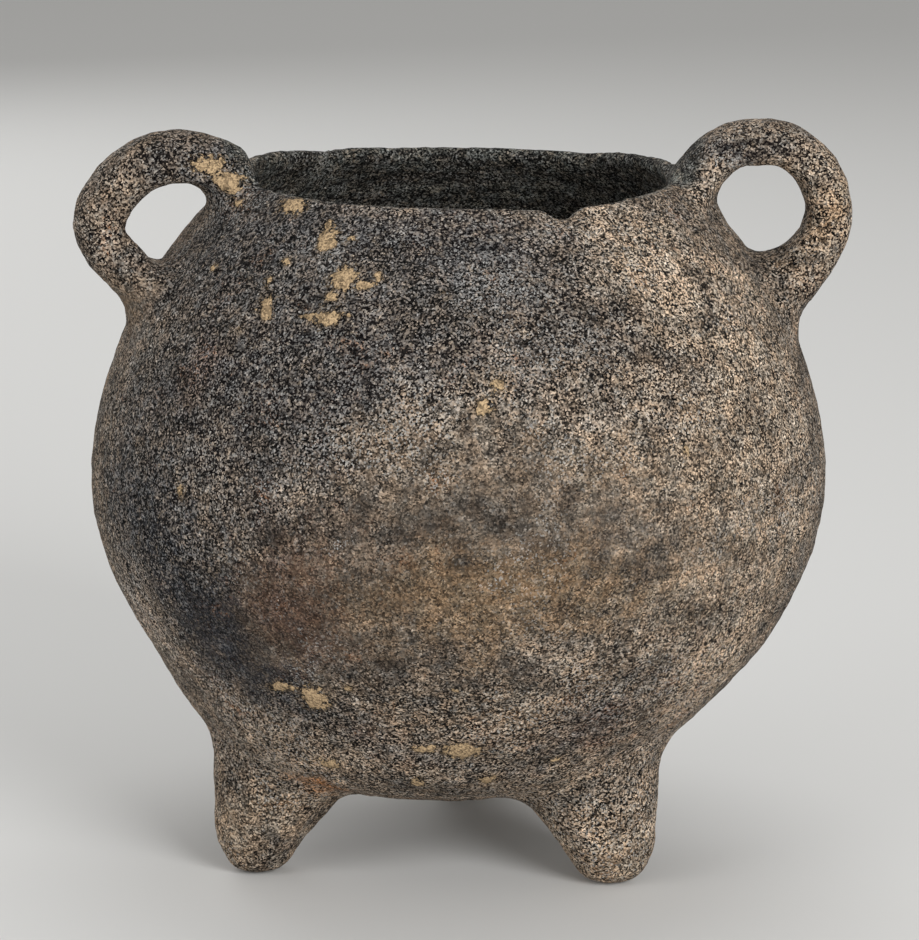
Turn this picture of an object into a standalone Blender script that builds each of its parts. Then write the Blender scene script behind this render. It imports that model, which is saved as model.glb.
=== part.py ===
"""A round clay cooking pot on three stub feet, with two loop handles that stand above its rim.

Metres, +Z up. X runs from the left handle to the right one, and Y runs away from the front feet.
The pot is one fired piece. It stands on its feet at Z = 0, and the origin is under the middle of its box.
"""

import math

import bmesh
import bpy
from mathutils import Matrix, Vector

# Body, measured to its outer face
BELLY_RADIUS = 0.100
BELLY_HEIGHT = 0.1075
RIM_RADIUS = 0.060
RIM_HEIGHT = 0.188
SHOULDER_FULLNESS = 1.86
TURN_RADIUS = 0.068
TURN_HEIGHT = 0.0405
TURN_SLOPE = math.radians(50)
BASE_HEIGHT = 0.0206
BASE_FLAT_RADIUS = 0.042

# Pull of the curve on each side of the turn, and down from the belly
WALL_PULL = 0.024
TURN_PULL = 0.012
BELLY_PULL = 0.0262

# Thickness of the clay
RIM_WALL = 0.0048
WALL = 0.0060
BASE_WALL = 0.0080

# The lower body was pushed to one side while the clay was wet
LEAN = -0.0040
LEAN_START_HEIGHT = 0.066
LEAN_FULL_HEIGHT = 0.036

# The rim is not level: it is higher at the back left and sags at the front, to the right of the middle
RIM_TILT = 0.0006
RIM_TILT_TURN = math.radians(130)
RIM_SAG = 0.0011
RIM_SAG_TURN = math.radians(302)
RIM_SAG_SPREAD = math.radians(26)
RIM_WAVE_START = 0.150

# Handles: a strap of oval section that rises from the rim, turns over and runs down into the shoulder
STRAP_WIDTH = 0.0185
STRAP_FULLNESS = 2.6
TOP_FLARE = 1.32
ROOT_FLARE = 1.18
HANDLE_TOP_DROP = 0.0060
ROOT_DEPTH = 0.0130
ROOT_SPREAD = 0.85
ROOT_SPREAD_REACH = 0.0120
ROOT_THINNING = 0.5
HANDLES = (
    {
        "turn": 192,
        "reach": 0.0158,
        "drop": 0.0139,
        "loop": 0.0215,
        "thick": 0.0138,
        "arc": (146, 3),
        "root": 0.159,
    },
    {
        "turn": -1,
        "reach": 0.0209,
        "drop": 0.0090,
        "loop": 0.0187,
        "thick": 0.0135,
        "arc": (150, -34),
        "root": 0.155,
    },
)

# Feet: blunt stubs that widen upwards into the base, with an upright outer side
FOOT_OUTER_RADIUS = 0.0664
FOOT_FLAT_RADIUS = 0.0042
FOOT_TOE_RADIUS = 0.0122
FOOT_TOE_HEIGHT = 0.0085
FOOT_ROOT_RADIUS = 0.0264
FOOT_ROOT_HEIGHT = 0.0400
FEET = (
    {"turn": 202, "girth": 0.98},
    {"turn": 326, "girth": 1.00},
    {"turn": 84, "girth": 1.00},
)

# A chip out of the rim, at the front to the right of the middle, with its steep side at the left
CHIP_TURN = math.radians(299)
CHIP_LENGTH = 0.0125
CHIP_FLOOR_LENGTH = 0.0030
CHIP_FLOOR_SHIFT = -0.0028
CHIP_DEPTH = 0.0030

# Facets
AROUND_BODY = 72
SHOULDER_STEPS = 12
WALL_STEPS = 8
BASE_STEPS = 6
LIP_STEPS = 4
INNER_STRIDE = 2
AROUND_STRAP = 16
ALONG_STRAP = 22
AROUND_FOOT = 22
TOE_STEPS = 4
FOOT_STEPS = 4
AXIS_MERGE = 1e-5
WELD_DISTANCE = 1e-6

CLAY_COLOUR = (0.105, 0.083, 0.066, 1.0)
CLAY_ROUGHNESS = 0.92


def cubic(p0, p1, p2, p3, steps):
    """Points of a cubic curve from p0 to p3, without p0."""
    points = []
    for i in range(1, steps + 1):
        t = i / steps
        s = 1 - t
        points.append(p0 * s**3 + p1 * (3 * s * s * t) + p2 * (3 * s * t * t) + p3 * t**3)
    return points


def shoulder_points(steps):
    """Outer face from the rim down to the belly: a quarter of a superellipse."""
    power = 2 / SHOULDER_FULLNESS
    rim_angle = math.acos((RIM_RADIUS / BELLY_RADIUS) ** (1 / power))
    rise = (RIM_HEIGHT - BELLY_HEIGHT) / math.sin(rim_angle) ** power
    points = []
    for i in range(steps + 1):
        angle = rim_angle * (1 - i / steps)
        radius = BELLY_RADIUS * math.cos(angle) ** power
        points.append(Vector((radius, BELLY_HEIGHT + rise * math.sin(angle) ** power)))
    return points


def outer_face():
    """(radius, height) of the outer face, from the rim down to the middle of the base."""
    belly = Vector((BELLY_RADIUS, BELLY_HEIGHT))
    turn = Vector((TURN_RADIUS, TURN_HEIGHT))
    slope = Vector((math.cos(TURN_SLOPE), math.sin(TURN_SLOPE)))
    middle = Vector((0, BASE_HEIGHT))
    points = shoulder_points(SHOULDER_STEPS)
    points += cubic(belly, belly - Vector((0, BELLY_PULL)), turn + slope * WALL_PULL, turn, WALL_STEPS)
    flat = middle + Vector((BASE_FLAT_RADIUS, 0))
    return points + cubic(turn, turn - slope * TURN_PULL, flat, middle, BASE_STEPS)


def thickness_at(height):
    """Clay thickness: thin at the rim, thick at the base, and even between."""
    if height > BELLY_HEIGHT:
        share = (height - BELLY_HEIGHT) / (RIM_HEIGHT - BELLY_HEIGHT)
        return WALL + (RIM_WALL - WALL) * share * share
    share = (BELLY_HEIGHT - height) / (BELLY_HEIGHT - BASE_HEIGHT)
    return WALL + (BASE_WALL - WALL) * share * share


def sunk(face, share):
    """The face moved into the clay by a share of its thickness."""
    moved = []
    for i, point in enumerate(face):
        before = face[max(i - 1, 0)]
        after = face[min(i + 1, len(face) - 1)]
        along = (after - before).normalized()
        inward = Vector((along.y, -along.x))
        moved.append(point + inward * (thickness_at(point.y) * share))
    moved[-1] = Vector((0, BASE_HEIGHT + BASE_WALL * share))
    return moved


def radius_at(face, height):
    """Radius of a face at a height above its turn."""
    for upper, lower in zip(face, face[1:]):
        if lower.y <= height <= upper.y:
            share = (height - lower.y) / (upper.y - lower.y)
            return lower.x + (upper.x - lower.x) * share
    return face[0].x


def lip(outer, inner):
    """A half round over the rim, from the inner face to the outer one."""
    middle = (outer + inner) / 2
    arm = inner - middle
    points = []
    for i in range(1, LIP_STEPS):
        angle = -math.pi * i / LIP_STEPS
        cos, sin = math.cos(angle), math.sin(angle)
        points.append(middle + Vector((arm.x * cos - arm.y * sin, arm.x * sin + arm.y * cos)))
    return points


def add_object(name, data, collection):
    """A new object in a collection."""
    made = bpy.data.objects.new(name, data)
    collection.objects.link(made)
    return made


def turned(name, profile, collection, around=AROUND_BODY):
    """A closed solid turned about Z, from a profile that goes up inside and down outside."""
    mesh = bpy.data.meshes.new(name)
    edges = [(i, i + 1) for i in range(len(profile) - 1)]
    mesh.from_pydata([(p.x, 0, p.y) for p in profile], edges, [])
    made = add_object(name, mesh, collection)
    screw = made.modifiers.new("turn", "SCREW")
    screw.steps = around
    screw.render_steps = around
    screw.use_merge_vertices = True
    screw.merge_threshold = AXIS_MERGE
    return made


def as_mesh(made, name, collection):
    """The object's evaluated shape as a plain welded mesh, in place of the object."""
    bpy.context.view_layer.update()
    graph = bpy.context.evaluated_depsgraph_get()
    mesh = bpy.data.meshes.new_from_object(made.evaluated_get(graph))
    place = made.matrix_world.copy()
    bpy.data.objects.remove(made)
    form = bmesh.new()
    form.from_mesh(mesh)
    bmesh.ops.transform(form, matrix=place, verts=form.verts)
    bmesh.ops.remove_doubles(form, verts=form.verts, dist=WELD_DISTANCE)
    bmesh.ops.recalc_face_normals(form, faces=form.faces)
    form.to_mesh(mesh)
    form.free()
    mesh.name = name
    return add_object(name, mesh, collection)


def body(collection):
    """The hollow body with its lip."""
    outer = outer_face()
    inner = sunk(outer, 1)[::INNER_STRIDE]
    profile = inner[::-1] + lip(outer[0], inner[0]) + outer
    return as_mesh(turned("body", profile, collection), "body", collection)


def wall_core(collection):
    """All that lies inside the middle of the wall, and inside the mouth above it.

    It trims what is joined to the wall.
    """
    middle = sunk(outer_face(), 0.5)
    mouth = sunk(outer_face(), 1)[0].x
    top = RIM_HEIGHT + BELLY_RADIUS
    profile = [Vector((0, top)), Vector((mouth, top)), Vector((mouth, middle[0].y))] + middle
    core = as_mesh(turned("wall_core", profile, collection), "wall_core", collection)
    core.hide_render = True
    core.display_type = "WIRE"
    return core


def smooth_path(knots, steps):
    """Points spread along a smooth curve through the knots."""
    padded = [2 * knots[0] - knots[1]] + knots + [2 * knots[-1] - knots[-2]]
    points = []
    spans = len(knots) - 1
    for i in range(steps + 1):
        place = min(i / steps * spans, spans - 1e-9)
        k = int(place)
        t = place - k
        a, b, c, d = padded[k : k + 4]
        points.append(
            0.5 * (2 * b + (c - a) * t + (2 * a - 5 * b + 4 * c - d) * t * t + (3 * b - a - 3 * c + d) * t**3)
        )
    return points


def strap_section(name, thick, collection):
    """Oval section of a handle: its thickness across and its width up, as a closed curve."""
    curve = bpy.data.curves.new(name, "CURVE")
    curve.dimensions = "2D"
    spline = curve.splines.new("POLY")
    spline.points.add(AROUND_STRAP - 1)
    spline.use_cyclic_u = True
    power = 2 / STRAP_FULLNESS
    for i, point in enumerate(spline.points):
        angle = 2 * math.pi * (i + 0.5) / AROUND_STRAP
        cos, sin = math.cos(angle), math.sin(angle)
        across = math.copysign(abs(cos) ** power, cos) * thick / 2
        along = math.copysign(abs(sin) ** power, sin) * STRAP_WIDTH / 2
        point.co = (across, along, 0, 1)
    section = add_object(name, curve, collection)
    section.hide_render = True
    return section


def wall_place(face, height, depth):
    """A point on a face of the wall at a height, moved straight inwards by a depth."""
    above = Vector((radius_at(face, height + 0.001), height + 0.001))
    here = Vector((radius_at(face, height), height))
    along = (above - here).normalized()
    return here + Vector((-along.y, along.x)) * depth


def handle_path(size):
    """(radius, height) along a handle, from inside the rim over the loop to inside the shoulder."""
    outer = outer_face()
    centre = Vector((RIM_RADIUS + size["reach"], RIM_HEIGHT - size["drop"]))
    first, last = (math.radians(angle) for angle in size["arc"])
    knots = [wall_place(outer, RIM_HEIGHT - HANDLE_TOP_DROP, ROOT_DEPTH)]
    turns = 5
    for i in range(turns + 1):
        angle = first + (last - first) * i / turns
        knots.append(centre + Vector((math.cos(angle), math.sin(angle))) * size["loop"])
    knots.append(wall_place(outer, size["root"], 0))
    knots.append(wall_place(outer, size["root"] - ROOT_DEPTH, ROOT_DEPTH))
    return smooth_path(knots, ALONG_STRAP)


def spread_root(strap, roots):
    """Widens the strap where it meets the wall, with thin edges, and bends it to follow the wall."""
    for vertex in strap.data.vertices:
        place = Vector((vertex.co.x, vertex.co.z))
        root = min(roots, key=lambda spot: (place - spot).length)
        near = math.exp(-((place - root).length / ROOT_SPREAD_REACH) ** 2)
        side = min(abs(vertex.co.y) / (STRAP_WIDTH / 2), 1)
        place = place.lerp(root, ROOT_THINNING * near * side * side)
        angle = vertex.co.y * (1 + ROOT_SPREAD * near) / place.x
        vertex.co = (place.x * math.cos(angle), place.x * math.sin(angle), place.y)


def handle(number, size, core, parts, helpers):
    """One strap handle: out of the rim, over the loop and down into the shoulder."""
    path = handle_path(size)
    name = f"handle_{number}"
    curve = bpy.data.curves.new(name, "CURVE")
    curve.dimensions = "3D"
    curve.twist_mode = "Z_UP"
    curve.bevel_mode = "OBJECT"
    section = strap_section(f"{name}_section", size["thick"], helpers)
    curve.bevel_object = section
    curve.use_fill_caps = True
    spline = curve.splines.new("POLY")
    spline.points.add(len(path) - 1)
    for i, (point, place) in enumerate(zip(spline.points, path)):
        end = 2 * i / ALONG_STRAP - 1
        flare = TOP_FLARE if end < 0 else ROOT_FLARE
        point.co = (place.x, place.y, 0, 1)
        point.radius = 1 + (flare - 1) * abs(end) ** 5
    strap = add_object(name, curve, parts)
    strap.matrix_world = Matrix.Rotation(math.radians(90), 4, "X")
    strap = as_mesh(strap, name, parts)
    bpy.data.objects.remove(section)
    outer = outer_face()
    roots = [wall_place(outer, RIM_HEIGHT - HANDLE_TOP_DROP, 0), wall_place(outer, size["root"], 0)]
    spread_root(strap, roots)
    strap.data.transform(Matrix.Rotation(math.radians(size["turn"]), 4, "Z"))
    return combine(strap, core, "DIFFERENCE")


def foot_radius(height):
    """Radius of a foot above its toe."""
    share = (height - FOOT_TOE_HEIGHT) / (FOOT_ROOT_HEIGHT - FOOT_TOE_HEIGHT)
    return FOOT_TOE_RADIUS + (FOOT_ROOT_RADIUS - FOOT_TOE_RADIUS) * share


def foot(number, size, core, parts):
    """One stub foot: turned, with a worn flat under its toe, and slanted so its outer side is upright."""
    flat = Vector((FOOT_FLAT_RADIUS, 0))
    toe = Vector((FOOT_TOE_RADIUS, FOOT_TOE_HEIGHT))
    slope = (Vector((FOOT_ROOT_RADIUS, FOOT_ROOT_HEIGHT)) - toe).normalized() * (FOOT_TOE_HEIGHT / 3)
    under = flat + Vector(((FOOT_TOE_RADIUS - FOOT_FLAT_RADIUS) / 2, 0))
    outline = [Vector((0, 0)), flat] + cubic(flat, under, toe - slope, toe, TOE_STEPS)
    for i in range(1, FOOT_STEPS + 1):
        height = FOOT_TOE_HEIGHT + (FOOT_ROOT_HEIGHT - FOOT_TOE_HEIGHT) * i / FOOT_STEPS
        outline.append(Vector((foot_radius(height), height)))
    outline.append(Vector((0, FOOT_ROOT_HEIGHT)))
    girth = size["girth"]
    outline = [Vector((p.x * girth, p.y)) for p in outline]
    name = f"foot_{number}"
    stub = as_mesh(turned(name, outline[::-1], parts, AROUND_FOOT), name, parts)
    for vertex in stub.data.vertices:
        height = max(vertex.co.z, FOOT_TOE_HEIGHT)
        vertex.co.x += FOOT_OUTER_RADIUS - foot_radius(height) * girth
    stub.data.transform(Matrix.Rotation(math.radians(size["turn"]), 4, "Z"))
    return combine(stub, core, "DIFFERENCE")


def combine(first, second, operation):
    """The first mesh joined with the second, or cut by it."""
    change = first.modifiers.new(operation.lower(), "BOOLEAN")
    change.operation = operation
    change.solver = "EXACT"
    change.object = second
    name = first.name
    return as_mesh(first, name, first.users_collection[0])


def rim_chip(helpers):
    """The cutter of the chip: a block across the rim, with a short floor and one steep side."""
    form = bmesh.new()
    bmesh.ops.create_cube(form, size=1)
    for vertex in form.verts:
        length = CHIP_LENGTH * 1.6 if vertex.co.z > 0 else CHIP_FLOOR_LENGTH
        shift = 0 if vertex.co.z > 0 else CHIP_FLOOR_SHIFT
        vertex.co.x = vertex.co.x * length + shift
        vertex.co.y *= 4 * RIM_WALL
        vertex.co.z *= 2 * CHIP_DEPTH
    place = Matrix.Translation((0, -RIM_RADIUS, RIM_HEIGHT))
    turn = Matrix.Rotation(CHIP_TURN - math.radians(270), 4, "Z")
    bmesh.ops.transform(form, matrix=turn @ place, verts=form.verts)
    mesh = bpy.data.meshes.new("rim_chip")
    form.to_mesh(mesh)
    form.free()
    cutter = add_object("rim_chip", mesh, helpers)
    cutter.hide_render = True
    cutter.display_type = "WIRE"
    return cutter


def smooth_share(value, start, full):
    """0 before start, 1 after full, and a smooth rise between."""
    share = min(max((value - start) / (full - start), 0), 1)
    return share * share * (3 - 2 * share)


def settle(made):
    """Gives the turned form its hand-built unevenness: the lean of the lower body and the rim's sag."""
    for vertex in made.data.vertices:
        co = vertex.co
        turn = math.atan2(co.y, co.x)
        off = math.remainder(turn - RIM_SAG_TURN, 2 * math.pi) / RIM_SAG_SPREAD
        wave = RIM_TILT * math.cos(turn - RIM_TILT_TURN) - RIM_SAG * math.exp(-off * off)
        wave *= smooth_share(co.z, RIM_WAVE_START, RIM_HEIGHT)
        co.x += LEAN * smooth_share(co.z, LEAN_START_HEIGHT, LEAN_FULL_HEIGHT)
        co.z += wave


def centre_on_origin(made):
    """Moves the mesh so that the origin is under the middle of its box, on the ground."""
    low = Vector([min(v.co[i] for v in made.data.vertices) for i in range(3)])
    high = Vector([max(v.co[i] for v in made.data.vertices) for i in range(3)])
    middle = (low + high) / 2
    made.data.transform(Matrix.Translation((-middle.x, -middle.y, -low.z)))


def clay():
    """Fired clay, dark with soot."""
    made = bpy.data.materials.new("sooty_clay")
    made.use_nodes = True
    shader = made.node_tree.nodes["Principled BSDF"]
    shader.inputs["Base Color"].default_value = CLAY_COLOUR
    shader.inputs["Roughness"].default_value = CLAY_ROUGHNESS
    shader.inputs["Metallic"].default_value = 0.0
    return made


def main():
    """Builds the pot."""
    for old in list(bpy.data.objects):
        bpy.data.objects.remove(old)
    parts = bpy.data.collections.new("ceramic_pot")
    helpers = bpy.data.collections.new("helpers")
    bpy.context.scene.collection.children.link(parts)
    bpy.context.scene.collection.children.link(helpers)

    core = wall_core(helpers)
    pot = body(parts)
    joined = [handle(i, size, core, parts, helpers) for i, size in enumerate(HANDLES)]
    joined += [foot(i, size, core, parts) for i, size in enumerate(FEET)]
    for piece in joined:
        pot = combine(pot, piece, "UNION")
        bpy.data.objects.remove(piece)
    pot = combine(pot, rim_chip(helpers), "DIFFERENCE")
    settle(pot)
    centre_on_origin(pot)
    pot.name = "pot"
    pot.data.name = "pot"
    pot.data.materials.clear()
    pot.data.materials.append(clay())
    pot.data.shade_smooth()
    pot.data.set_sharp_from_angle(angle=math.radians(35))


main()
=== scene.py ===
"""A round, hand-built cooking pot of gritty fired clay, dark with soot.

The pot has a plain mouth with one chip, two upright loop handles on its rim and three stub feet. It is one
piece of clay, so it is one mesh here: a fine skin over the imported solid, roughened by hand marks and grit,
then stained.
"""

import logging
import math
from dataclasses import dataclass, field
from enum import Enum

import bmesh
import bpy
import numpy as np
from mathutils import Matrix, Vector, noise

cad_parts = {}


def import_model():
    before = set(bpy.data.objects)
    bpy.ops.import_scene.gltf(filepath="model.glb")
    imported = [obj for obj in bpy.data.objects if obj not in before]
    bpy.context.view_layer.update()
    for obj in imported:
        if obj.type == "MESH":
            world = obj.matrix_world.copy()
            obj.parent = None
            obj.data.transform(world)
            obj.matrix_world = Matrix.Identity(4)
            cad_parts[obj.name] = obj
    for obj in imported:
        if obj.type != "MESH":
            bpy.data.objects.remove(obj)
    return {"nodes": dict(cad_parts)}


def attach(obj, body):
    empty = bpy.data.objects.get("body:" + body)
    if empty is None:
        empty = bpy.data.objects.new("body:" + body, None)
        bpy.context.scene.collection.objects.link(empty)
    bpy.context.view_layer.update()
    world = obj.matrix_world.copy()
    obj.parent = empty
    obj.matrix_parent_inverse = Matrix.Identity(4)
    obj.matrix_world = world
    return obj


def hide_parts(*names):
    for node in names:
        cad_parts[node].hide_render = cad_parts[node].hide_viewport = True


LOG = logging.getLogger("cooking_pot")
STAIN_SEED = 7


class Stain(Enum):
    """What fire, food and the ground have left on the clay, and the painted shade in the right handle's
    grooves.
    """

    SOOT_AND_SHADE = "soot"
    BAND = "band"
    TAN = "tan"
    DUST = "dust"
    RUST = "rust"
    OCHRE = "ochre"
    LIME = "lime"
    CRUST = "crust"
    IRON = "iron"
    WIPED = "wiped"


class Side(Enum):
    """The two handles, named as seen from the front."""

    LEFT = "left"
    RIGHT = "right"


@dataclass(frozen=True)
class Patch:
    """One stain: where it lies on the pot, and how large it is along the surface.

    turn is in degrees round the pot's axis, from the right handle's side, so the front is at -90. height,
    wide, high and out are in metres. out is the distance from the axis for a patch on a handle or foot, and
    is left at 0 for one on the wall. lean turns the patch on the surface, in degrees.
    """

    kind: Stain
    turn: float
    height: float
    wide: float
    high: float
    lean: float = 0.0
    strength: float = 1.0
    out: float = 0.0


def eased(values: np.ndarray, low: float, high: float) -> np.ndarray:
    """Rises smoothly from 0 at low to 1 at high.

    Args:
        values: Any numbers.
        low: Where the rise starts.
        high: Where the rise ends, which may be below low.

    Returns:
        One number from 0 to 1 for each value.
    """
    share = np.clip((values - low) / (high - low), 0.0, 1.0)
    return share * share * (3.0 - 2.0 * share)


def ripple(
    places: np.ndarray, per_metre: tuple[float, float, float], octaves: int, shift: float = 0.0
) -> np.ndarray:
    """Gives an even, cloudy pattern in space.

    Args:
        places: Points in metres, one a row.
        per_metre: How many waves go into a metre along x, y and z.
        octaves: How many finer layers are added.
        shift: Moves the pattern, so that two of the same size differ.

    Returns:
        One number for each point, mostly from -1 to 1.
    """
    scaled = places * np.array(per_metre) + shift
    return np.array([noise.fractal(Vector(point), 0.9, 2.1, octaves) for point in scaled.tolist()])


def wandered(places: np.ndarray, layers: tuple[tuple[float, float], ...]) -> np.ndarray:
    """Shifts points to and fro, so that what is drawn from them gets uneven edges.

    Args:
        places: Points in metres, one a row.
        layers: For each layer, its waves to the metre and how far it shifts a point at most.

    Returns:
        The shifted points.
    """
    result = places.copy()
    for per_metre, reach in layers:
        scaled = (places * per_metre).tolist()
        result += reach * np.array([noise.noise_vector(Vector(point)) for point in scaled])
    return result


def vertex_places(mesh: bpy.types.Mesh) -> np.ndarray:
    """Gives the mesh's points, one a row."""
    flat = np.empty(len(mesh.vertices) * 3, dtype=np.float32)
    mesh.vertices.foreach_get("co", flat)
    return flat.reshape(-1, 3).astype(np.float64)


def vertex_normals(mesh: bpy.types.Mesh) -> np.ndarray:
    """Gives the way that the surface faces at each of the mesh's points."""
    flat = np.empty(len(mesh.vertices) * 3, dtype=np.float32)
    mesh.vertex_normals.foreach_get("vector", flat)
    return flat.reshape(-1, 3).astype(np.float64)


def put_places(mesh: bpy.types.Mesh, places: np.ndarray) -> None:
    """Moves the mesh's points to these places."""
    mesh.vertices.foreach_set("co", places.astype(np.float32).ravel())
    mesh.update()


def averaged(mesh: bpy.types.Mesh, places: np.ndarray, rounds: int) -> np.ndarray:
    """Draws each point towards the middle of its neighbours, again and again.

    Args:
        mesh: The mesh whose edges say which points are neighbours.
        places: The points to even out, one a row.
        rounds: How many times this is done.

    Returns:
        The evened-out points.
    """
    flat = np.empty(len(mesh.edges) * 2, dtype=np.int32)
    mesh.edges.foreach_get("vertices", flat)
    one, other = flat[0::2], flat[1::2]
    size = len(places)
    count = np.bincount(flat, minlength=size)
    result = places.copy()
    for _ in range(rounds):
        for axis in range(3):
            column = result[:, axis]
            total = np.bincount(one, column[other], size) + np.bincount(other, column[one], size)
            result[:, axis] = 0.5 * column + 0.5 * total / count
    return result


def evened(mesh: bpy.types.Mesh, places: np.ndarray, rounds: int) -> np.ndarray:
    """Evens the points out, then gives back most of what this took off the round forms.

    Args:
        mesh: The mesh that the points belong to.
        places: The points, one a row.
        rounds: How many times each step is done.

    Returns:
        The evened-out points.
    """
    soft = averaged(mesh, places, rounds)
    return soft + averaged(mesh, places - soft, rounds)


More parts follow.
